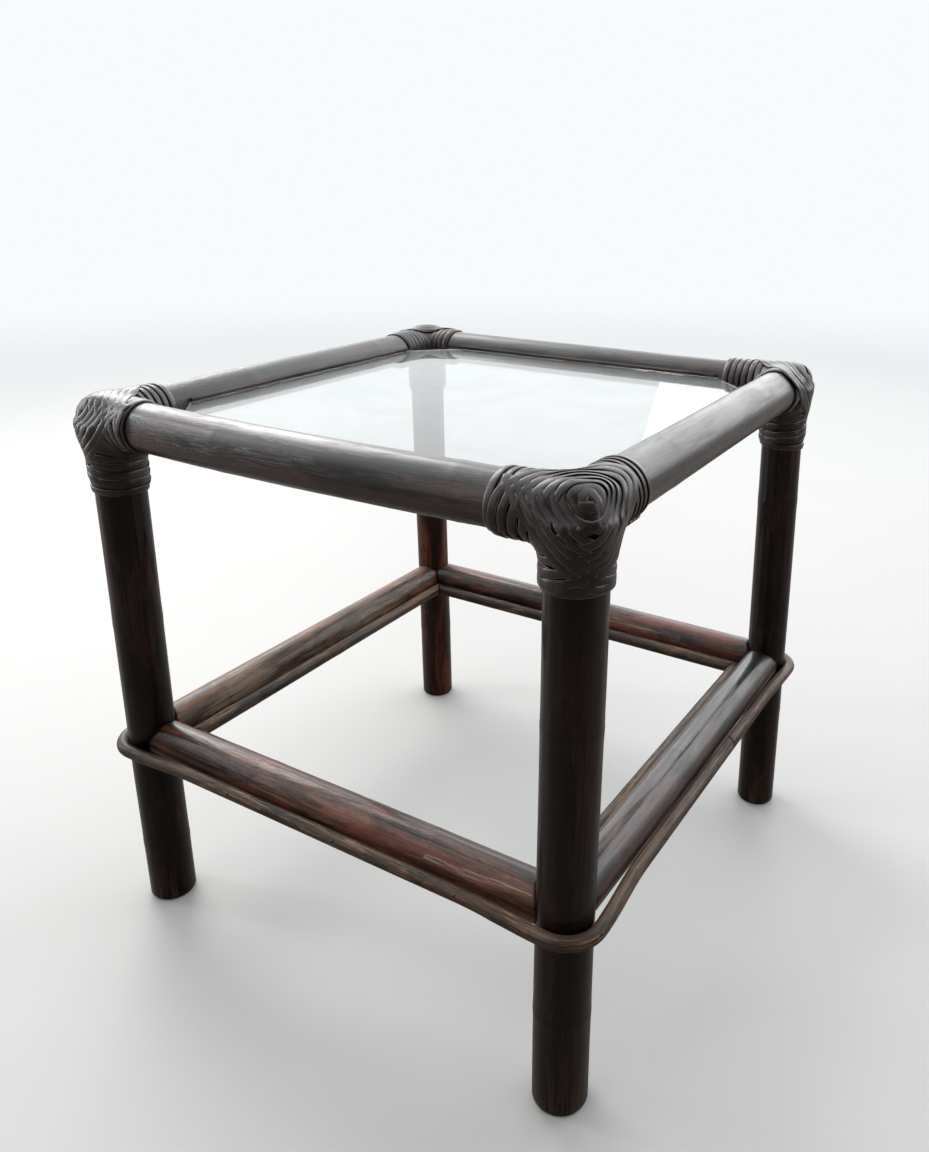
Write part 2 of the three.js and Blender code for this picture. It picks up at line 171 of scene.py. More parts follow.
class Pole:
    """A natural round pole along a line of stations, cut at its ends by the given surfaces."""

    def __init__(self, stations, radius, ref, rng, rough=0.25, nodes=(), node_height=0.35, sway=0.0):
        self.stations = np.asarray(stations, float)
        self.marks = arc_marks(self.stations)
        self.length = self.marks[-1]
        self.radius = radius
        self.ref = np.asarray(ref, float)
        self.bumps = harmonics(rng, rough, (0.008, 0.02))
        self.nodes = nodes
        self.node_height = node_height
        self.sway = sway
        self.swayed = (rng.uniform(0, 6.28), rng.uniform(0, 6.28))
        self.tangents = unit(np.gradient(self.stations, self.marks, axis=0))

    def axes(self, s):
        centre = at_marks(s, self.marks, self.stations)
        t = unit(at_marks(s, self.marks, self.tangents))
        u = unit(self.ref - (t @ self.ref)[..., None] * t)
        v = np.cross(t, u)
        if self.sway:
            hump = np.sin(np.clip(s / self.length, 0, 1) * math.pi)
            swing = self.sway * hump[..., None]
            centre = centre + swing * (math.cos(self.swayed[0]) * u + math.sin(self.swayed[0]) * v)
            twist = np.sin(np.clip(s / self.length, 0, 1) * 2 * math.pi)[..., None] * self.sway * 0.5
            centre = centre + twist * (math.cos(self.swayed[1]) * u + math.sin(self.swayed[1]) * v)
        return centre, t, u, v

    def node_mark(self, s):
        mark = 0 * s
        for place in self.nodes:
            mark = np.maximum(mark, np.exp(-((s - place) / 2.2) ** 2))
        return mark

    def swell(self, s):
        grown = 0 * s
        for place in self.nodes:
            d = s - place
            ridge = np.exp(-(d / 7.0) ** 2)
            groove = np.exp(-((d - 2.5) / 1.3) ** 2)
            grown = grown + self.node_height * (ridge - 0.8 * groove)
        return grown

    def point(self, s, angle, fraction=1.0):
        s, angle = np.broadcast_arrays(np.asarray(s, float), np.asarray(angle, float))
        centre, _, u, v = self.axes(s)
        r = (self.radius + self.bumps(s, angle) + self.swell(s)) * fraction
        return centre + (r * np.cos(angle))[..., None] * u + (r * np.sin(angle))[..., None] * v

    def end(self, cut, angle, fraction, low, high):
        """Where each side line of the pole leaves a cutting surface. cut is negative in what goes."""
        lo = np.full(np.shape(angle), float(low))
        hi = np.full(np.shape(angle), float(high))
        for _ in range(END_HALVINGS):
            mid = (lo + hi) / 2
            kept = cut(self.point(mid, angle, fraction)) > 0
            hi = np.where(kept, mid, hi)
            lo = np.where(kept, lo, mid)
        return (lo + hi) / 2

    def build(self, sides, step=RING_STEP, cuts=(None, None), search=60.0, chamfer=(0.0, 0.0), offset=0.0,
              worn_start=False):
        """Points, faces and surface coordinates of the closed pole, with the marks of its nodes and ends."""
        angle = np.arange(sides) * 2 * math.pi / sides
        fractions = [1 - max(c, LEAST_CHAMFER) / self.radius for c in chamfer]

        def ends(fraction):
            first = self.end(cuts[0], angle, fraction, 0, search) if cuts[0] else 0 * angle
            last = (self.end(cuts[1], angle, fraction, self.length, self.length - search)
                    if cuts[1] else 0 * angle + self.length)
            return first, last

        first, last = ends(1.0)
        first, last = first + chamfer[0], last - chamfer[1]
        count = max(2, int(self.length / step))
        rows = []

        def row(s, fraction):
            p = self.point(s, angle, fraction)
            r = self.radius * fraction
            co = np.stack([r * np.cos(angle), r * np.sin(angle), s + offset], -1) / 1000
            near_end = np.exp(-np.minimum(s - first, last - s).clip(0) / 9.0)
            worn_end = np.exp(-s / 16.0) if worn_start else 0 * s
            rows.append((p, co, np.stack([self.node_mark(s), near_end * (not worn_start), worn_end], -1)))

        inner = (0.0, 0.35, 0.7)
        for f in inner:
            row(ends(f * fractions[0])[0], f * fractions[0])
        row(ends(fractions[0])[0], fractions[0])
        if chamfer[0] > 0:
            middle = (1 + fractions[0]) / 2
            row(ends(middle)[0] + chamfer[0] * 0.3, middle + (1 - middle) * 0.35)
        for i in range(count + 1):
            row(first + (last - first) * i / count, 1.0)
        if chamfer[1] > 0:
            middle = (1 + fractions[1]) / 2
            row(ends(middle)[1] - chamfer[1] * 0.3, middle + (1 - middle) * 0.35)
        row(ends(fractions[1])[1], fractions[1])
        for f in reversed(inner):
            row(ends(f * fractions[1])[1], f * fractions[1])

        n = len(rows) - 2
        verts, co, mark = (
            np.concatenate([r[k] for r in rows[1:-1]] + [rows[0][k][:1], rows[-1][k][:1]]) for k in range(3))
        faces = tube_faces(n, sides)
        low, high = n * sides, n * sides + 1
        for j in range(sides):
            k = (j + 1) % sides
            faces.append((low, k, j))
            faces.append((high, (n - 1) * sides + j, (n - 1) * sides + k))
        return verts, faces, {"pole_co": co, "pole_mark": mark}


def mitre_plane(side, name, centre):
    """Positive on the side's own half of the corner's diagonal."""
    ends = corner_top(SIDES[side]["a"]), corner_top(SIDES[side]["b"])
    along = unit(ends[1] - ends[0]) if SIDES[side]["a"] == name else unit(ends[0] - ends[1])
    out = np.array([*SIDES[side]["out"], 0.0])
    away = unit(-out - along)
    return lambda p: -((p - centre) @ away) - GAP / 2


def cope(side, name, z):
    """Positive outside the leg and on the side's own half of the corner's diagonal."""
    mitre = mitre_plane(side, name, leg_centre(name, z))

    def cut(p):
        leg = np.linalg.norm((p - leg_centre(name, p[..., 2]))[..., :2], axis=-1)
        return np.minimum(leg - CORNERS[name]["r"] - GAP, mitre(p))
    return cut


# ---- materials ----


class Nodes:
    """Adds nodes to a node tree. Each method gives back the socket that holds its result."""

    def __init__(self, tree):
        self.tree = tree

    def node(self, kind, **settings):
        n = self.tree.nodes.new("ShaderNode" + kind)
        for key, value in settings.items():
            setattr(n, key, value)
        return n

    def link(self, a, b):
        self.tree.links.new(a, b)

    def put(self, socket, value):
        if isinstance(value, bpy.types.NodeSocket):
            self.link(value, socket)
        else:
            socket.default_value = value

    def attribute(self, name):
        return self.node("Attribute", attribute_name=name)

    def stretched(self, vector, scale, shift=(0, 0, 0)):
        n = self.node("Mapping")
        self.link(vector, n.inputs["Vector"])
        n.inputs["Scale"].default_value = scale
        n.inputs["Location"].default_value = shift
        return n.outputs[0]

    def noise(self, vector, scale, detail=4.0, rough=0.55, distortion=0.0):
        n = self.node("TexNoise")
        self.link(vector, n.inputs["Vector"])
        n.inputs["Scale"].default_value = scale
        n.inputs["Detail"].default_value = detail
        n.inputs["Roughness"].default_value = rough
        n.inputs["Distortion"].default_value = distortion
        return n.outputs["Fac"]

    def step(self, value, low, high, to=(0.0, 1.0)):
        n = self.node("MapRange", interpolation_type="SMOOTHSTEP")
        self.put(n.inputs["Value"], value)
        n.inputs["From Min"].default_value = low
        n.inputs["From Max"].default_value = high
        n.inputs["To Min"].default_value = to[0]
        n.inputs["To Max"].default_value = to[1]
        return n.outputs[0]

    def math(self, operation, a, b=0.0):
        n = self.node("Math", operation=operation)
        self.put(n.inputs[0], a)
        self.put(n.inputs[1], b)
        return n.outputs[0]

    def times(self, a, b):
        return self.math("MULTIPLY", a, b)

    def plus(self, a, b):
        return self.math("ADD", a, b)

    def ramp(self, value, stops):
        n = self.node("ValToRGB")
        self.put(n.inputs[0], value)
        elements = n.color_ramp.elements
        while len(elements) < len(stops):
            elements.new(0.5)
        for element, (place, color) in zip(elements, stops):
            element.position = place
            element.color = (*color, 1)
        return n.outputs[0]

    def mix(self, factor, a, b):
        n = self.node("Mix", data_type="RGBA")
        self.put(n.inputs[0], factor)
        for socket, value in ((n.inputs[6], a), (n.inputs[7], b)):
            self.put(socket, (*value, 1) if isinstance(value, tuple) else value)
        return n.outputs[2]

    def bump(self, height, strength, distance):
        n = self.node("Bump")
        n.inputs["Strength"].default_value = strength
        n.inputs["Distance"].default_value = distance
        self.link(height, n.inputs["Height"])
        return n.outputs[0]

    def shader_mix(self, factor, a, b):
        n = self.node("MixShader")
        for socket, value in zip(n.inputs, (factor, a, b)):
            self.link(value, socket)
        return n.outputs[0]

    def rays(self, first, second):
        """1 for rays of either kind, else 0."""
        path = self.node("LightPath")
        return self.math("MAXIMUM", path.outputs[f"Is {first} Ray"], path.outputs[f"Is {second} Ray"])


class Look(Nodes):
    """A material with one main shader."""

    def __init__(self, name):
        self.material = bpy.data.materials.new(name)
        self.material.use_nodes = True
        super().__init__(self.material.node_tree)
        self.tree.nodes.clear()
        self.out = self.node("OutputMaterial")
        self.shader = self.node("BsdfPrincipled")
        self.link(self.shader.outputs[0], self.out.inputs["Surface"])

    def set(self, **values):
        """Feeds the shader's own sockets. Spaces in their names are written as underscores."""
        for key, value in values.items():
            self.put(self.shader.inputs[key.replace("_", " ")], value)


def pole_material(name, dark, mid, red, pale, worn=0.5, coat=0.6, coat_rough=0.08, rough=(0.28, 0.5),
                  patches=0.5, streaks=0.5, lines=0.8, weather=0.0, ior=1.45, relief=0.35):
    """Stained and varnished rattan: long fibres, patches of stain with clear edges, worn places, cracks."""
    look = Look(name)
    co = look.attribute("pole_co").outputs["Vector"]
    marks = look.node("SeparateXYZ")
    look.link(look.attribute("pole_mark").outputs["Vector"], marks.inputs[0])
    fibre = look.noise(look.stretched(co, (1, 1, 0.03)), 520, 5, 0.7)
    broad = look.noise(look.stretched(co, (1, 1, 0.05)), 110, 5, 0.62, 0.5)
    cloud = look.noise(look.stretched(co, (1, 1, 0.24)), 44, 7, 0.66, 0.8)
    large = look.noise(look.stretched(co, (1, 1, 0.42)), 19, 5, 0.62, 0.5)
    tone = look.plus(look.times(broad, streaks), look.times(cloud, 1 - streaks))
    base = look.ramp(look.step(tone, 0.38, 0.62), [(0.0, dark), (0.45, mid), (1.0, red)])
    base = look.mix(look.step(large, 0.535, 0.575, (0, patches)), base,
                    look.mix(look.step(tone, 0.4, 0.6), mid, red))
    stained = look.noise(look.stretched(co, (1, 1, 0.3), (1, 5, 0)), 26, 5, 0.6, 0.6)
    base = look.mix(look.step(stained, 0.56, 0.61, (0, 0.7)), base, dark)
    wear = look.times(look.step(cloud, 0.52, 0.6), look.step(fibre, 0.44, 0.58))
    base = look.mix(look.times(wear, worn), base, pale)
    grey = look.times(look.step(large, 0.56, 0.40), look.step(fibre, 0.36, 0.56))
    base = look.mix(look.times(grey, weather), base, pale)
    scratch = look.noise(look.stretched(co, (1, 1, 0.012), (3, 1, 0)), 900, 2, 0.5)
    base = look.mix(look.step(scratch, 0.69, 0.75, (0, worn * 0.8)), base, pale)

    def crack_lines(scale, stretch, width, shift):
        n = look.noise(look.stretched(co, (1, 1, stretch), shift), scale, 4, 0.6)
        return look.step(look.math("ABSOLUTE", look.math("SUBTRACT", n, 0.5)), width, width * 0.25)
    where = look.step(look.noise(look.stretched(co, (1, 1, 0.3), (9, 4, 0)), 30, 3, 0.5), 0.46, 0.58)
    cracked = look.times(crack_lines(230, 0.022, 0.012, (7, 2, 0)), where)
    fine = look.times(crack_lines(520, 0.03, 0.022, (2, 8, 0)), look.step(cloud, 0.4, 0.56))
    cracked = look.math("MAXIMUM", cracked, look.times(fine, 0.6))
    base = look.mix(look.times(cracked, lines), base, tuple(0.25 * c for c in dark))
    base = look.mix(look.times(marks.outputs[0], 0.25), base, tuple(0.5 * c for c in dark))
    base = look.mix(look.times(marks.outputs[1], 0.45), base, tuple(0.5 * c for c in dark))
    foot = look.times(marks.outputs[2], look.step(look.plus(cloud, fibre), 0.98, 1.12))
    base = look.mix(look.times(foot, 0.7), base, pale)
    gloss = look.plus(look.step(cloud, 0.3, 0.7, rough), look.times(look.math("MAXIMUM", wear, foot), 0.2))
    height = look.plus(look.times(fibre, 0.3), look.times(cracked, -1.0))
    height = look.plus(height, look.times(broad, 0.5))
    coat_height = look.plus(look.times(broad, 0.35), look.times(cracked, -0.8))
    look.set(Base_Color=base, Roughness=gloss, Normal=look.bump(height, relief, 0.0007),
             Coat_Normal=look.bump(coat_height, relief * 0.8, 0.0006), Coat_Weight=coat,
             Coat_Roughness=coat_rough, Coat_IOR=1.5, IOR=ior)
    return look.material


def binding_material():
    """Peeled strip: fine fibres along it and a dark stain, with a painted highlight along its shoulders and
    painted shade, near black, down its edges where the strips meet.
    """
    look = Look("binding_strip")
    co = look.attribute("strip_co").outputs["Vector"]
    edge = look.attribute("strip_edge").outputs["Fac"]
    parts = look.node("SeparateXYZ")
    look.link(co, parts.inputs[0])
    fibre = look.noise(look.stretched(co, (0.05, 1, 1)), 1500, 4, 0.6)
    band = look.noise(look.stretched(co, (0.35, 1, 1)), 130, 4, 0.6, 0.5)
    cloud = look.noise(co, 34, 5, 0.6)
    tone = look.plus(look.times(cloud, 0.6), look.times(band, 0.4))
    base = look.ramp(look.step(tone, 0.36, 0.64), [
        (0.0, (0.008, 0.007, 0.008)), (0.45, (0.024, 0.020, 0.022)), (1.0, (0.056, 0.040, 0.036))])
    tint = look.node("TexWhiteNoise", noise_dimensions="1D")
    look.link(parts.outputs[2], tint.inputs["W"])
    base = look.mix(look.step(tint.outputs[0], 0.35, 1.0, (0, 0.55)), base, (0.058, 0.028, 0.022))
    base = look.mix(look.step(fibre, 0.52, 0.72, (0, 0.4)), base, (0.13, 0.105, 0.09))
    # Painted highlight: a pale rim along each strip's shoulders, broken up in patches along it.
    painted_rim_highlight = look.times(look.step(edge, 0.62, 0.80), look.step(band, 0.42, 0.58))
    base = look.mix(look.times(painted_rim_highlight, 0.7), base, (0.24, 0.205, 0.18))
    # Painted shade: the strips turn near black down their edges, where they meet the next strip.
    base = look.mix(look.step(edge, 0.86, 0.93), base, (0.0015, 0.001, 0.001))
    height = look.plus(look.times(fibre, 0.6), look.times(band, 0.6))
    look.set(Base_Color=base, Roughness=look.step(tone, 0.3, 0.7, (0.26, 0.46)),
             Normal=look.bump(height, 0.5, 0.0005), Coat_Weight=0.45, Coat_Roughness=0.25, IOR=1.45)
    return look.material


def glass_material():
    """Float glass with a faint tint and a pale film. Rays from lamps pass it, so that the floor is lit."""
    look = Look("clear_glass")
    object_co = look.node("TexCoord").outputs["Object"]
    smear = look.noise(object_co, 9, 5, 0.6, 0.8)
    tint = look.mix(look.step(smear, 0.35, 0.7), (0.835, 0.86, 0.865), (0.80, 0.83, 0.835))
    look.set(Base_Color=tint, Roughness=look.step(smear, 0.45, 0.75, (0.0, 0.035)),
             Transmission_Weight=1.0, IOR=1.52)
    clear = look.node("BsdfTransparent")
    clear.inputs[0].default_value = (0.93, 0.96, 0.955, 1)
    film = look.node("BsdfTranslucent")
    film.inputs[0].default_value = (0.92, 0.94, 0.95, 1)
    filmed = look.shader_mix(look.step(smear, 0.3, 0.75, (0.11, 0.17)), look.shader.outputs[0],
                             film.outputs[0])
    whole = look.shader_mix(look.rays("Shadow", "Diffuse"), filmed, clear.outputs[0])
    look.link(whole, look.out.inputs["Surface"])
    return look.material


def plain_wood_material(name, color):
    """Pale turned dowel with fine grain, for the CAD nodes that stay inside the joints."""
    look = Look(name)
    co = look.node("TexCoord").outputs["Object"]
    grain = look.noise(look.stretched(co, (1, 1, 0.3)), 300, 5, 0.6)
    base = look.ramp(look.step(grain, 0.35, 0.65), [(0.0, tuple(0.6 * c for c in color)), (1.0, color)])
    look.set(Base_Color=base, Roughness=look.step(grain, 0.3, 0.7, (0.5, 0.75)),
             Normal=look.bump(grain, 0.3, 0.0005))
    return look.material


def nail_material():
    look = Look("nail_steel")
    co = look.node("TexCoord").outputs["Object"]
    rust = look.noise(co, 900, 4, 0.6)
    steel = look.ramp(look.step(rust, 0.4, 0.62), [(0.0, (0.09, 0.085, 0.08)), (1.0, (0.06, 0.03, 0.02))])
    look.set(Base_Color=steel, Roughness=look.step(rust, 0.4, 0.62, (0.35, 0.7)),
             Normal=look.bump(rust, 0.3, 0.0002), Metallic=0.8)
    return look.material


LEG_LOOK = pole_material("leg_rattan", (0.0016, 0.0011, 0.0011), (0.0045, 0.0024, 0.0022),
                         (0.024, 0.0075, 0.005), (0.14, 0.075, 0.05), worn=0.16, coat=0.7,
                         coat_rough=0.06, rough=(0.3, 0.42), patches=0.35, lines=0.6, ior=1.2, relief=0.2)
BACK_LEG_LOOK = pole_material("back_leg_rattan", (0.010, 0.004, 0.003), (0.045, 0.012, 0.007),
                              (0.24, 0.055, 0.020), (0.26, 0.10, 0.05), worn=0.3, coat=0.4, patches=0.8,
                              ior=1.35)
RAIL_LOOK = pole_material("rail_rattan", (0.0035, 0.0027, 0.0027), (0.014, 0.009, 0.0085),
                          (0.060, 0.021, 0.015), (0.17, 0.12, 0.10), worn=0.3, coat=0.75,
                          coat_rough=0.24, rough=(0.32, 0.48), patches=0.55, ior=1.5)
STRETCHER_LOOK = pole_material("stretcher_rattan", (0.006, 0.003, 0.0025), (0.055, 0.016, 0.009),
                               (0.230, 0.060, 0.030), (0.28, 0.16, 0.10), worn=0.55, coat=0.6,
                               coat_rough=0.07, patches=0.85, streaks=0.55, lines=0.95, ior=1.4)
DARK_STRETCHER_LOOK = pole_material("dark_stretcher_rattan", (0.004, 0.003, 0.003), (0.024, 0.016, 0.015),
                                    (0.105, 0.050, 0.043), (0.20, 0.165, 0.15), worn=0.4, coat=0.8,
                                    coat_rough=0.09, patches=0.8, streaks=0.6, lines=0.9, ior=1.45)
WORN_STRETCHER_LOOK = pole_material("worn_stretcher_rattan", (0.012, 0.006, 0.004), (0.085, 0.040, 0.025),
                                    (0.27, 0.10, 0.045), (0.34, 0.24, 0.165), worn=0.8, coat=0.35,
                                    coat_rough=0.12, patches=0.8, streaks=0.6, lines=1.0, weather=0.7,
                                    ior=1.4, relief=0.5)
CANE_LOOK = pole_material("thin_cane", (0.005, 0.003, 0.002), (0.034, 0.016, 0.010), (0.12, 0.050, 0.028),
                          (0.36, 0.225, 0.135), worn=0.8, coat=0.2, coat_rough=0.25, patches=0.5,
                          streaks=0.6, rough=(0.35, 0.55), lines=1.0, weather=0.3, ior=1.4, relief=0.8)
EDGE_LOOK = pole_material("edge_cane", (0.03, 0.024, 0.020), (0.10, 0.082, 0.070), (0.15, 0.115, 0.095),
                          (0.26, 0.22, 0.18), worn=0.5, coat=0.05, coat_rough=0.4, patches=0.3, streaks=0.7,
                          rough=(0.5, 0.7), ior=1.3)
BINDING_LOOK = binding_material()
GLASS_LOOK = glass_material()
DOWEL_LOOK = plain_wood_material("dowel_wood", (0.45, 0.30, 0.17))
NAIL_LOOK = nail_material()

# ---- legs ----

LEG_NODES = {"front_right": (88.0, 330.0), "front_left": (62.0, 296.0),
             "back_right": (120.0, 362.0), "back_left": (104.0, 318.0)}
for corner, c in CORNERS.items():
    rng = np.random.default_rng(c["seed"])
    z = np.linspace(0, LEG_TOP, 40)
    pole = Pole(leg_centre(corner, z), c["r"], (1, 0, 0), rng, rough=0.3, nodes=LEG_NODES[corner], sway=0.7)
    verts, faces, marks = pole.build(64, chamfer=(2.2, 1.0), offset=700 * c["seed"], worn_start=True)
    verts[:, 2] = verts[:, 2].clip(0, None)
    look = BACK_LEG_LOOK if corner == "back_left" else LEG_LOOK
    make_mesh(f"turned_leg_{corner}", verts, faces, marks, "leg_pole", look, (f"leg_{corner}",))

# ---- top rails ----


def side_point(side, along, outward, z):
    a, b = corner_top(SIDES[side]["a"]), corner_top(SIDES[side]["b"])
    along = np.asarray(along, float)
    p = a + (b - a) * (along / SPACING)[..., None]
    out = np.asarray(outward, float) + 0 * along
    p = p + np.stack([SIDES[side]["out"][0] * out, SIDES[side]["out"][1] * out, 0 * out], -1)
    p[..., 2] = z
    return p


def bow_at(side, along):
    t = np.asarray(along, float) / SPACING
    return SIDES[side]["bow"] * 4 * t * (1 - t)


OVERRUN = 34.0
RAIL_NODES = {"front": (150.0, 365.0), "right": (128.0, 330.0), "back": (190.0,), "left": (110.0, 300.0)}
for i, (side, d) in enumerate(SIDES.items()):
    rng = np.random.default_rng(100 + i)
    along = np.linspace(-OVERRUN, SPACING + OVERRUN, 90)
    pole = Pole(side_point(side, along, bow_at(side, along), RAIL_Z), RAIL_R, (0, 0, 1), rng, rough=0.25,
                nodes=tuple(OVERRUN + n for n in RAIL_NODES[side]), node_height=0.25, sway=0.4)
    cuts = (mitre_plane(side, d["a"], corner_top(d["a"])), mitre_plane(side, d["b"], corner_top(d["b"])))
    make_mesh(f"top_pole_{side}", *pole.build(64, cuts=cuts, search=90, offset=3000 * (i + 1)),
              "rail_pole", RAIL_LOOK, (f"rail_{side}",))

# ---- stretchers ----

STRETCHER_NODES = {"front": (140.0, 330.0), "right": (210.0,), "back": (95.0, 290.0),
                   "left": (170.0, 372.0)}
for i, (side, d) in enumerate(SIDES.items()):
    rng = np.random.default_rng(200 + i)
    inward = -np.array([*d["out"], 0.0]) * STRETCHER_INSET
    a, b = leg_centre(d["a"], STRETCHER_Z) + inward, leg_centre(d["b"], STRETCHER_Z) + inward
    stations = a + (b - a) * np.linspace(0, 1, 60)[:, None]
    pole = Pole(stations, STRETCHER_R - 0.15, (0, 0, 1), rng, rough=0.22, nodes=STRETCHER_NODES[side],
                node_height=0.25, sway=0.25)
    cuts = (cope(side, d["a"], STRETCHER_Z), cope(side, d["b"], STRETCHER_Z))
    look = {"left": WORN_STRETCHER_LOOK, "right": DARK_STRETCHER_LOOK}.get(side, STRETCHER_LOOK)
    make_mesh(f"lower_pole_{side}", *pole.build(56, cuts=cuts, offset=5000 * (i + 1)),
              "stretcher_pole", look, (f"stretcher_{side}",))

# ---- thin canes of the lower frame ----


def beside_stretcher(radius, z):
    return math.sqrt((STRETCHER_R + CANE_GAP + radius) ** 2 - (z - STRETCHER_Z) ** 2)


INNER_REACH = beside_stretcher(INNER_R, INNER_Z) + STRETCHER_INSET


def inner_corner(name):
    c = CORNERS[name]
    return leg_centre(name, INNER_Z) - np.array([c["x"], c["y"], 0.0]) * INNER_REACH


for i, (side, d) in enumerate(SIDES.items()):
    rng = np.random.default_rng(300 + i)
    a, b = inner_corner(d["a"]), inner_corner(d["b"])
    spare = 2 * INNER_R * unit(b - a)
    stations = (a - spare) + (b - a + 2 * spare) * np.linspace(0, 1, 60)[:, None]
    pole = Pole(stations, INNER_R, (0, 0, 1), rng, rough=0.16, nodes=(120.0 + 30 * i, 300.0 + 14 * i),
                node_height=0.2, sway=0.25)
    cuts = (mitre_plane(side, d["a"], a), mitre_plane(side, d["b"], b))
    make_mesh(f"inner_strip_{side}", *pole.build(28, cuts=cuts, search=40, offset=7000 * (i + 1)),
              "thin_cane", CANE_LOOK, (f"inner_cane_{side}",))


def hoop_radius(name):
    return CORNERS[name]["r"] + GAP + HOOP_R


def hoop_side(side, start, stop):
    d = SIDES[side]
    a, b = leg_centre(d["a"], HOOP_Z), leg_centre(d["b"], HOOP_Z)
    length = float(np.linalg.norm(b - a))
    rest = beside_stretcher(HOOP_R, HOOP_Z) - STRETCHER_INSET
    s = np.linspace(start * length, stop * length, max(2, int(length * (stop - start) / 6)))

    def ease(x):
        return np.where(x < HOOP_EASE, (1 + np.cos(np.pi * x / HOOP_EASE)) / 2, 0.0)
    out = rest + (hoop_radius(d["a"]) - rest) * ease(s) + (hoop_radius(d["b"]) - rest) * ease(length - s)
    p = a + (b - a) * (s / length)[:, None]
    p[:, 0] += d["out"][0] * out
    p[:, 1] += d["out"][1] * out
    return p


def hoop_corner(name, before):
    centre, radius = leg_centre(name, HOOP_Z), hoop_radius(name)
    a0 = math.atan2(SIDES[before]["out"][1], SIDES[before]["out"][0])
    angles = a0 + (math.pi / 2) * np.linspace(0, 1, 16)[1:-1]
    return np.stack([centre[0] + radius * np.cos(angles), centre[1] + radius * np.sin(angles),
                     centre[2] + 0 * angles], -1)


SPLICE_SPARE = 0.03  # the cane is made this much too long at each end, then cut on a slant
hoop_line = np.concatenate([
    hoop_side("right", SPLICE_AT - SPLICE_SPARE, 1), hoop_corner("back_right", "right"),
    hoop_side("back", 0, 1), hoop_corner("back_left", "back"),
    hoop_side("left", 0, 1), hoop_corner("front_left", "left"),
    hoop_side("front", 0, 1), hoop_corner("front_right", "front"),
    hoop_side("right", 0, SPLICE_AT + SPLICE_SPARE)])
splice = hoop_side("right", SPLICE_AT, 1)[0]
slant = unit(np.array([0.9, 1.0, 0.5]))
hoop_line = hoop_line[np.r_[True, np.linalg.norm(np.diff(hoop_line, axis=0), axis=1) > 0.5]]
hoop = Pole(hoop_line, HOOP_R, (0, 0, 1), np.random.default_rng(350), rough=0.14,
            nodes=(150.0, 520.0, 860.0, 1230.0, 1610.0), node_height=0.2)
verts, faces, marks = hoop.build(
    28, 2.5, search=30, offset=9000,
    cuts=(lambda p: (p - splice) @ slant - SPLICE_GAP / 2,
          lambda p: -((p - splice) @ slant) - SPLICE_GAP / 2))
make_mesh("bent_cane_hoop", verts, faces, marks, "thin_cane", CANE_LOOK, ("outer_hoop",))

# ---- canes round the edge of the glass ----


def touching(radius, z):
    return math.sqrt((RAIL_R + GAP + radius) ** 2 - (z - RAIL_Z) ** 2)


LEDGE_Z = GLASS_TOP - GLASS_THICKNESS - GAP - LEDGE_R
BEAD_Z = GLASS_TOP + GAP + BEAD_R
for i, side in enumerate(SIDES):
    along = np.linspace(STRIP_START, SPACING - STRIP_START, 60)
    for kind, radius, z in (("ledge", LEDGE_R, LEDGE_Z), ("bead", BEAD_R, BEAD_Z)):
        rng = np.random.default_rng(400 + 10 * i + (kind == "bead"))
        line = side_point(side, along, bow_at(side, along) - touching(radius, z), z)
        pole = Pole(line, radius, (0, 0, 1), rng, rough=0.08, nodes=(90.0 + 20 * i, 240.0),
                    node_height=0.12)
        make_mesh(f"{kind}_cane_{side}", *pole.build(20, chamfer=(0.5, 0.5), offset=11000 + 500 * i),
                  "edge_cane", EDGE_LOOK, (f"glass_{kind}_{side}",))

# ---- woven corners ----

STRIP_WIDTH = 6.3  # of the turns
LOOP_WIDTH = 6.5  # of the loops
TIP_WIDTH = STRIP_WIDTH * 1.15  # of the short strips over the very corner
STRIP_THICKNESS = 1.25
TURN_LIFT = 3.0  # a turn rises no more than this over what lies under it
LOOP_LIFT = 1.8
TIP_LIFT = 1.2  # also of the first loop
WOBBLE = 0.2  # random shift of a strip's control points
FOUND_WITHIN = 1.5  # a strip feels what lies within this distance
STIFFNESS = 7  # samples on each side over which a strip's height is smoothed
SAMPLE = 1.6  # distance between the cross-sections of a strip
ACROSS = np.array([-1, -0.5, 0, 0.5, 1.0])
# Section of a strip: place across it, share of its thickness, and how near that point is to an edge; the
# strip's material paints its highlight and shade from this nearness.
SECTION = [(-0.97, -0.6, 1.0), (-1.0, 0.10, 1.0), (-0.965, 0.72, 0.95), (-0.84, 0.96, 0.80),
           (-0.35, 1.10, 0.35), (0.35, 1.10, 0.35), (0.84, 0.96, 0.80), (0.965, 0.72, 0.95),
           (1.0, 0.10, 1.0), (0.97, -0.6, 1.0)]
PITCH = 6.4  # from one turn to the next


def smooth_min(a, b, k):
    h = np.clip(0.5 + 0.5 * (b - a) / k, 0, 1)
    return b + (a - b) * h - k * h * (1 - h)


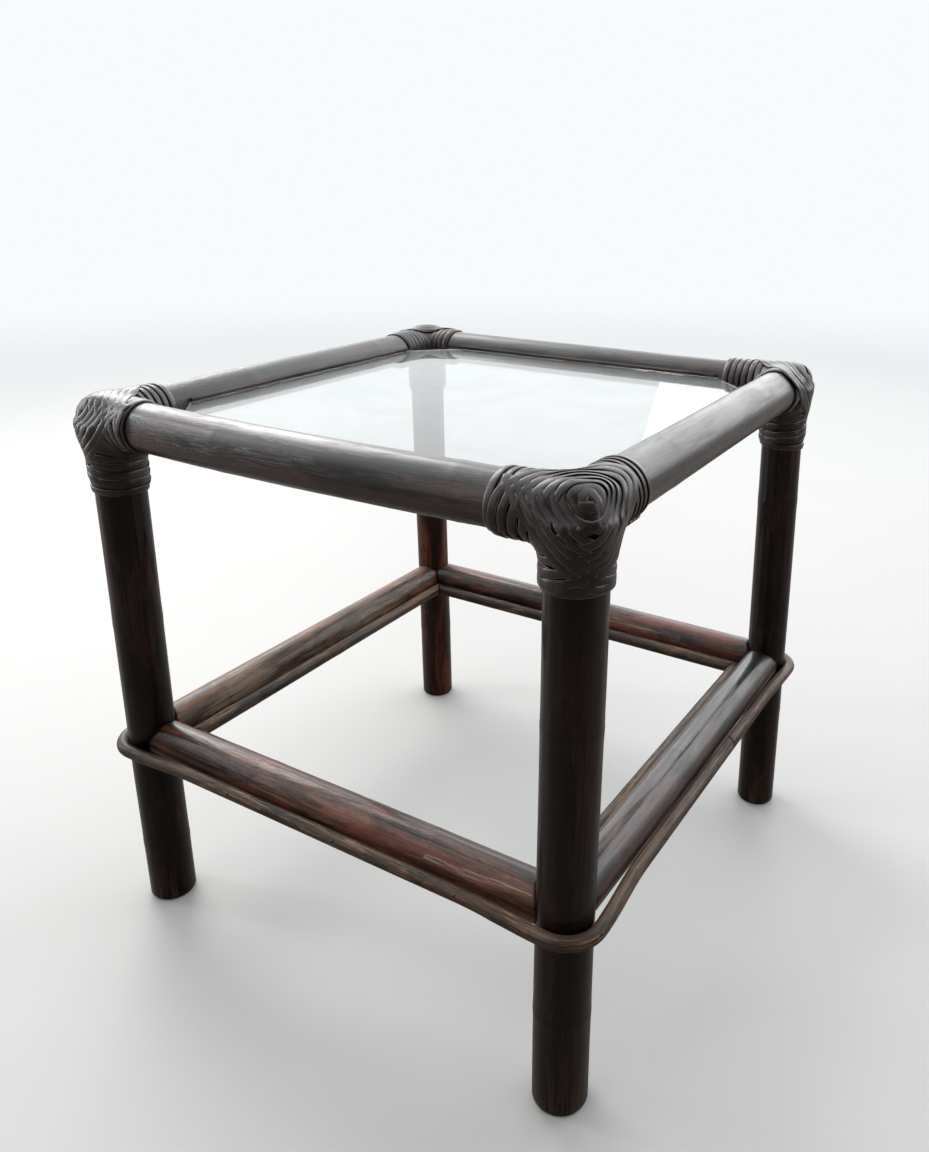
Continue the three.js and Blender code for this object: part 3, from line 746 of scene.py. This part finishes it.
class Knot:
    """The bound corner. Local axes: x and y point out of the table, z up, from the crossing of the axes."""

    def __init__(self, name):
        self.c = CORNERS[name]
        self.top = corner_top(name)
        self.mirror = np.array([self.c["x"], self.c["y"], 1.0])
        self.rng = np.random.default_rng(self.c["seed"] + 500)
        self.bowed = self.c["y"] < 0
        self.points, self.heights = [], []
        self.count = 0

    def axis(self, pole, s):
        """The pole's own axis at a distance s from the corner."""
        s = np.asarray(s, float)
        if pole == "x":
            t = s / SPACING
            return np.stack([-s, (FRONT_BOW * 4 * t * (1 - t) if self.bowed else 0 * s), 0 * s], -1)
        if pole == "y":
            return np.stack([0 * s, -s, 0 * s], -1)
        lean = s / RAIL_Z
        foot = self.c["foot"]
        return np.stack([self.c["x"] * foot[0] * lean, self.c["y"] * foot[1] * lean, -s], -1)

    def radius(self, pole):
        return self.c["r"] if pole == "z" else RAIL_R

    def skin(self, p):
        """Distance to the smooth body that the strips lie on: two rail ends that meet, over the leg."""
        x, y, z = p[..., 0], p[..., 1], p[..., 2]
        end = RAIL_R - 3.0
        dx = -smooth_min(RAIL_R - np.hypot(y - self.axis("x", -x)[..., 1], z), end - x, 8.0)
        dy = -smooth_min(RAIL_R - np.hypot(x, z), end - y, 8.0)
        t = (x + y) / math.sqrt(2)
        rails = smooth_min(dx, dy, np.clip(7.0 - t / 4, 5.0, 12.0))
        centre = self.axis("z", -z)
        dz = np.hypot(x - centre[..., 0], y - centre[..., 1]) - self.c["r"]
        dz = np.maximum(dz, z + 6)
        return smooth_min(rails, dz, 13.0) - 0.35

    def normal(self, p):
        e = 0.4
        g = [self.skin(p + d) - self.skin(p - d) for d in np.eye(3) * e]
        return unit(np.stack(g, -1))

    def onto(self, p, rounds=3):
        for _ in range(rounds):
            p = p - np.clip(self.skin(p), -6, 6)[..., None] * self.normal(p)
        return p

    def at(self, pole, s, direction):
        d = unit(np.asarray(direction, float))
        return self.axis(pole, s) + (self.radius(pole) + 1) * d

    def lay(self, controls, width, smoothing=6, limit=TURN_LIFT):
        """Lays one strip along the control points, over whatever lies there already."""
        controls = np.asarray(controls, float)
        controls = controls + self.rng.normal(0, WOBBLE, controls.shape)
        q = np.concatenate([2 * controls[:1] - controls[1:2], controls,
                            2 * controls[-1:] - controls[-2:-1]])
        line = []
        for k in range(1, len(q) - 2):
            t = np.linspace(0, 1, 24, endpoint=False)[:, None]
            a, b, c, d = q[k - 1], q[k], q[k + 1], q[k + 2]
            line.append(0.5 * (2 * b + (c - a) * t + (2 * a - 5 * b + 4 * c - d) * t ** 2
                               + (3 * b - a - 3 * c + d) * t ** 3))
        line = self.onto(np.concatenate([*line, q[-2:-1]]), 8)
        for _ in range(smoothing):
            line = self.resample(line)
            inner = line[1:-1] * 0.4 + (line[:-2] + line[2:]) * 0.3
            line = self.onto(np.concatenate([line[:1], inner, line[-1:]]))
        line = self.resample(line)
        tangent = unit(np.gradient(line, axis=0))
        side = unit(np.cross(self.normal(line), tangent))
        n = len(line)
        slow = harmonics(self.rng, 0.25, (0.05, 0.12))
        w = width / 2 * np.ones(n) + slow(np.arange(n) * SAMPLE, 0.0)
        base = self.onto(line[:, None] + (ACROSS * w[:, None])[..., None] * side[:, None], 5)
        lift = np.minimum(self.stack(base), limit)
        self.count += 1
        verts, co, edge = [], [], []
        ident = self.count + self.c["seed"] * 7.31
        places = np.array([v for v, _, _ in SECTION])
        bare = self.onto(line[:, None] + (places * w[:, None])[..., None] * side[:, None], 5)
        normals = self.normal(bare)
        for j, (v, share, near) in enumerate(SECTION):
            k = (v + 1) / 2
            height = lift[:, 0] * (1 - k) + lift[:, 1] * k + share * STRIP_THICKNESS
            verts.append(bare[:, j] + height[:, None] * normals[:, j])
            co.append(np.stack([np.arange(n) * SAMPLE / 1000 + ident, v * w / 1000,
                                ident + 0 * w], -1))
            edge.append(near + 0 * w)
        tops = lift[:, :1] + (lift[:, 1:] - lift[:, :1]) * (ACROSS + 1) / 2 + STRIP_THICKNESS
        self.points.append(base.reshape(-1, 3))
        self.heights.append(tops.ravel())
        m = len(SECTION)
        verts = np.stack(verts, 1).reshape(-1, 3)
        co = np.stack(co, 1).reshape(-1, 3)
        edge = np.stack(edge, 1).ravel()
        faces = tube_faces(n, m)
        faces.append(tuple(range(m - 1, -1, -1)))
        faces.append(tuple((n - 1) * m + j for j in range(m)))
        return verts, faces, co, edge

    def resample(self, line):
        marks = arc_marks(line)
        count = max(4, int(round(marks[-1] / SAMPLE)) + 1)
        return at_marks(np.linspace(0, marks[-1], count), marks, line)

    def stack(self, base):
        """Height of what lies under the new strip, at its two edges, smoothed as a stiff strip would."""
        n = len(base)
        found = np.zeros((n, len(ACROSS)))
        if self.points:
            points = np.concatenate(self.points)
            heights = np.concatenate(self.heights)
            tree = kdtree.KDTree(len(points))
            for i, p in enumerate(points):
                tree.insert(p, i)
            tree.balance()
            for i in range(n):
                for j in range(len(ACROSS)):
                    hits = tree.find_range(base[i, j], FOUND_WITHIN)
                    if hits:
                        found[i, j] = max(heights[h[1]] for h in hits)
        left = np.maximum(found[:, 0] * 0.9, found[:, 1])
        right = np.maximum(found[:, 4] * 0.9, found[:, 3])
        lack = np.maximum(0, found[:, 2] - (left + right) / 2)
        edges = np.stack([left + lack, right + lack], 1)
        padded = np.pad(edges, ((1, 1), (0, 0)), mode="edge")
        edges = np.max(np.stack([padded[:-2], padded[1:-1], padded[2:]]), 0)
        kernel = np.exp(-np.arange(-STIFFNESS, STIFFNESS + 1) ** 2 / 20.0)
        kernel /= kernel.sum()
        padded = np.pad(edges, ((STIFFNESS, STIFFNESS), (0, 0)), mode="edge")
        return np.stack([np.convolve(padded[:, k], kernel, mode="valid") for k in range(2)], 1)

    def turn(self, pole, s):
        """One turn of a strip round a pole. Its ends are tucked away under a rail or behind a leg."""
        across = {"x": ((0, -1, 0), (0, 0, 1)), "y": ((-1, 0, 0), (0, 0, 1)), "z": ((-1, 0, 0), (0, -1, 0))}
        u, v = (np.array(a, float) for a in across[pole])
        start = math.radians(self.c["seam"] if pole == "z" else 270)
        controls = []
        for k in range(-1, 10):
            a = start + k * math.pi / 4
            place = s + PITCH * (k / 8 - 0.5) * 0.8
            controls.append(self.at(pole, place, u * math.cos(a) + v * math.sin(a)))
        return self.lay(controls, STRIP_WIDTH, smoothing=1)

    def loop_strips(self, s):
        """The straight strip down the near face, then the one over the top and down the far face."""
        g = dict(x=(0, 1, 1), y=(1, 0, 1), z=(1, 1, 0))
        r = RAIL_R
        s = s + self.rng.normal(0, 0.35)
        middle = (0.707 * r - s) / 2

        def spot(pole, more, direction):
            return self.at(pole, min(s + more, self.c["reach"][pole] - 5), direction)
        first = [spot("x", 12, (0, -1, 0)), spot("x", 11, (0, -0.3, -1)), spot("x", 9, (0, 1, -0.6)),
                 spot("x", 5.5, (0, 1, 0.2)), self.at("x", s, g["x"]), (middle, middle, r + 1),
                 self.at("y", s, g["y"]), (r + 1, middle, middle), self.at("z", s, g["z"]),
                 spot("z", 5.5, (0.2, 1, 0)), spot("z", 9, (-0.6, 1, 0)), spot("z", 11, (-1, -0.3, 0)),
                 spot("z", 12, (0, -1, 0))]
        second = [spot("z", 12, (-0.3, -1, 0)), spot("z", 9, (1, -0.6, 0)), spot("z", 5.5, (1, 0.2, 0)),
                  self.at("z", s, g["z"]), (middle, r + 1, middle), self.at("x", s, g["x"]),
                  spot("x", 3, (0, 0.5, 1))]
        return second, first

    def tip_strips(self):
        """Short strips that cross over the very corner, before the first loop goes round it."""
        out = unit(np.array([1.0, 1.0, 1.0]))
        level = unit(np.array([1.0, -1.0, 0.0]))
        down = unit(np.array([1.0, 1.0, -2.0]))
        strips = []
        for turned, beside, end in ((0, 0.5, 21), (-28, -4.5, 15), (88, -5.0, 13), (30, 3.0, 15)):
            a = math.radians(turned)
            run = down * math.cos(a) + level * math.sin(a)
            aside = level * math.cos(a) - down * math.sin(a)
            strips.append([26 * out + run * k + aside * beside for k in (-13, -7, 0, end / 2, end)])
        return strips


CORE_REACH = 41.0  # the core goes no further than this from the corner
CORE_HALVINGS = 24


def knot_core(knot):
    """The closed body under the strips."""
    ball = bpy.data.meshes.new("core")
    bm = bmesh.new()
    bmesh.ops.create_icosphere(bm, subdivisions=5, radius=1.0)
    bm.to_mesh(ball)
    bm.free()
    directions = np.array([v.co[:] for v in ball.vertices])
    faces = [tuple(p.vertices) for p in ball.polygons]
    bpy.data.meshes.remove(ball)
    low, high = np.zeros(len(directions)), np.full(len(directions), CORE_REACH)
    for _ in range(CORE_HALVINGS):
        mid = (low + high) / 2
        inside = knot.skin(directions * mid[:, None]) < 0
        low, high = np.where(inside, mid, low), np.where(inside, high, mid)
    verts = directions * low[:, None]
    return verts, faces, verts / 1000 + knot.c["seed"], np.full(len(verts), 0.5)


def add_binding(knot, name, parts, replaced):
    """One piece from several closed bodies, moved from the knot's own axes to the table's."""
    faces, base = [], 0
    for part in parts:
        faces += [tuple(i + base for i in face) for face in part[1]]
        base += len(part[0])
    verts, co, edge = (np.concatenate([part[k] for part in parts]) for k in (0, 2, 3))
    verts = verts * knot.mirror + knot.top
    if knot.c["x"] * knot.c["y"] > 0:
        faces = [f[::-1] for f in faces]
    make_mesh(name, verts, faces, {"strip_co": co, "strip_edge": edge}, "binding", BINDING_LOOK, replaced)


LOOPS = (-5.5, 2.3, 10.1, 17.9, 25.7, 33.5, 41.0)  # where the loops cross the poles, from the corner
FIRST_TURN = 22.0  # no turn lies nearer to the corner
KNOT_REACH = 40.0  # turns beyond this are pieces of their own
for corner, c in CORNERS.items():
    knot = Knot(corner)
    weave = [knot_core(knot)]
    outer_turns = {}
    for pole in "xyz":
        last = c["reach"][pole] - STRIP_WIDTH / 2
        count = int((last - FIRST_TURN) / PITCH)
        places = [last - PITCH * k for k in range(count, -1, -1)]
        weave += [knot.turn(pole, s) for s in places if s < KNOT_REACH]
        outer_turns[pole] = [knot.turn(pole, s) for s in places if s >= KNOT_REACH]
    for controls in knot.tip_strips():
        weave.append(knot.lay(controls, TIP_WIDTH, limit=TIP_LIFT))
    for s in LOOPS:
        for controls in knot.loop_strips(s):
            weave.append(knot.lay(controls, LOOP_WIDTH, limit=TIP_LIFT if s < 0 else LOOP_LIFT))
    sides = {SIDES[s]["out"][1] != 0: s for s in SIDES if corner in (SIDES[s]["a"], SIDES[s]["b"])}
    names = {"x": sides[True], "y": sides[False]}
    for pole, turns in outer_turns.items():
        label = f"leg_binding_{corner}" if pole == "z" else f"rail_binding_{names[pole]}_{corner}"
        piece = f"leg_turns_{corner}" if pole == "z" else f"rail_turns_{names[pole]}_{corner}"
        if turns:
            add_binding(knot, piece, turns, (label,))
    add_binding(knot, f"woven_corner_{corner}", weave, (f"corner_knot_{corner}",))

# ---- carried-over CAD nodes ----

for name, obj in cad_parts.items():
    if name == "glass_top" or "dowel" in name:
        look = GLASS_LOOK if name == "glass_top" else DOWEL_LOOK
        obj.data.materials.clear()
        obj.data.materials.append(look)

# ---- nails ----

NAIL_R = 1.5
NAIL_SIDES = 12
NAIL_RINGS = [(0.0, 0.75), (0.45, 0.62), (0.8, 0.35), (1.0, 0.0), (0.95, -0.5)]  # radius share, height
FIRST_NAIL = 40.0
NAIL_SPACING = 118.0


def add_nails(name, places):
    """Small domed nail heads, each given by its point and the direction it faces."""
    verts, faces = [], []
    for point, facing in places:
        n = unit(facing)
        u = unit(np.cross(n, (0.0, 0.1, 1.0)))
        v = np.cross(n, u)
        base = len(verts)
        verts.append(point + n * NAIL_RINGS[0][1])
        for r, h in NAIL_RINGS[1:]:
            for k in range(NAIL_SIDES):
                a = 2 * math.pi * k / NAIL_SIDES
                verts.append(point + n * h + NAIL_R * r * (math.cos(a) * u + math.sin(a) * v))
        for k in range(NAIL_SIDES):
            j = (k + 1) % NAIL_SIDES
            faces.append((base, base + 1 + k, base + 1 + j))
            for i in range(len(NAIL_RINGS) - 2):
                p = base + 1 + i * NAIL_SIDES
                faces.append((p + k, p + NAIL_SIDES + k, p + NAIL_SIDES + j, p + j))
        last = base + 1 + (len(NAIL_RINGS) - 2) * NAIL_SIDES
        faces.append(tuple(last + k for k in reversed(range(NAIL_SIDES))))
    make_mesh(name, np.array(verts), faces, {}, "thin_cane", NAIL_LOOK)


hoop_nails = []
for s in np.arange(FIRST_NAIL, hoop.length - 20, NAIL_SPACING):
    centre, t, u, v = hoop.axes(np.array(s))
    out = v * (1 if np.dot(v, centre * np.array([1, 1, 0])) > 0 else -1)
    facing = unit(out + 0.55 * u)
    hoop_nails.append((centre + facing * (HOOP_R - 0.1), facing))
add_nails("hoop_nails", hoop_nails)

# ---- floor, light and camera, in metres ----

BACKDROP = (0.93, 0.96, 0.98)
FLOOR_HALF = 40.0
FLOOR_FADE = (0.9, 5.0)  # the floor turns into the backdrop between these distances


def floor():
    """A pale floor that fades into the backdrop. In reflections it is dark, as the photo's floor is."""
    mesh = bpy.data.meshes.new("floor")
    square = [(x * FLOOR_HALF, y * FLOOR_HALF, 0) for x, y in ((-1, -1), (1, -1), (1, 1), (-1, 1))]
    mesh.from_pydata(square, [], [(0, 1, 2, 3)])
    obj = add_object("floor", mesh)
    look = Look("pale_floor")
    co = look.node("TexCoord").outputs["Object"]
    grain = look.noise(co, 3.0, 4, 0.5)
    pale = look.mix(grain, (0.55, 0.54, 0.525), (0.58, 0.57, 0.555))
    seen = look.rays("Camera", "Transmission")
    look.set(Base_Color=look.mix(seen, (0.13, 0.105, 0.09), pale), Roughness=0.5)
    away = look.node("VectorMath", operation="LENGTH")
    look.link(co, away.inputs[0])
    fade = look.times(look.step(away.outputs["Value"], *FLOOR_FADE), seen)
    glow = look.node("Emission")
    glow.inputs[0].default_value = (*BACKDROP, 1)
    look.link(look.shader_mix(fade, look.shader.outputs[0], glow.outputs[0]), look.out.inputs["Surface"])
    mesh.materials.append(look.material)


def area_light(name, place, target, size, power, color):
    data = bpy.data.lights.new(name, "AREA")
    data.shape = "RECTANGLE"
    data.size, data.size_y = size
    data.energy = power
    data.color = color
    obj = add_object(name, data)
    obj.location = place
    obj.rotation_euler = (Vector(target) - Vector(place)).to_track_quat("-Z", "Y").to_euler()


def studio_world():
    """A soft studio: bright behind the table and above it, darker on the side of the camera."""
    world = bpy.data.worlds.new("studio")
    world.use_nodes = True
    nodes = Nodes(world.node_tree)
    background = nodes.tree.nodes["Background"]
    toward = nodes.node("VectorMath", operation="DOT_PRODUCT")
    toward.inputs[1].default_value = (-0.42, 0.62, 0.66)
    nodes.link(nodes.node("TexCoord").outputs["Generated"], toward.inputs[0])
    fade = nodes.step(toward.outputs["Value"], -0.15, 0.8, (0.03, 1.6))
    seen = nodes.node("Mix")
    nodes.link(nodes.rays("Camera", "Transmission"), seen.inputs[0])
    nodes.link(fade, seen.inputs[2])
    seen.inputs[3].default_value = 1.0
    nodes.link(seen.outputs[0], background.inputs[1])
    background.inputs[0].default_value = (*BACKDROP, 1)
    bpy.context.scene.world = world


floor()
area_light("key_window", (-1.9, 0.9, 1.9), (0, 0, 0.35), (1.4, 1.6), 30, (1.0, 0.99, 0.97))
area_light("back_wall", (0.5, 2.4, 1.5), (0, 0, 0.4), (3.2, 1.8), 20, (0.97, 0.98, 1.0))
area_light("front_fill", (-1.0, -2.4, 1.2), (0, 0, 0.3), (0.2, 2.0), 5, (1.0, 0.98, 0.95))
area_light("left_strip", (-2.3, -0.8, 1.0), (0, 0, 0.3), (0.3, 2.0), 14, (0.95, 0.97, 1.0))
area_light("right_strip", (2.2, 0.3, 1.0), (0, 0, 0.3), (0.2, 2.0), 5, (1.0, 0.98, 0.96))
studio_world()

bpy.context.scene.view_settings.view_transform = "Standard"

CAMERA_PLACE = (0.4759, -0.7189, 0.6771)
YAW, PITCH_DOWN, ROLL = math.radians(30.47), math.radians(-18.56), math.radians(0.45)
forward = Vector((-math.sin(YAW) * math.cos(PITCH_DOWN), math.cos(YAW) * math.cos(PITCH_DOWN),
                  math.sin(PITCH_DOWN)))
level = Vector((math.cos(YAW), math.sin(YAW), 0))
upward = level.cross(forward)
right = level * math.cos(ROLL) + upward * math.sin(ROLL)
up = upward * math.cos(ROLL) - level * math.sin(ROLL)
camera = add_object("camera", bpy.data.cameras.new("camera"))
turned = Matrix((right, up, -forward)).transposed().to_4x4()
camera.matrix_world = Matrix.Translation(CAMERA_PLACE) @ turned
camera.data.sensor_fit = "AUTO"
camera.data.sensor_width = 36.0
camera.data.lens = 29.73
camera.data.shift_x = -0.0554
camera.data.shift_y = -0.0690
bpy.context.scene.camera = camera
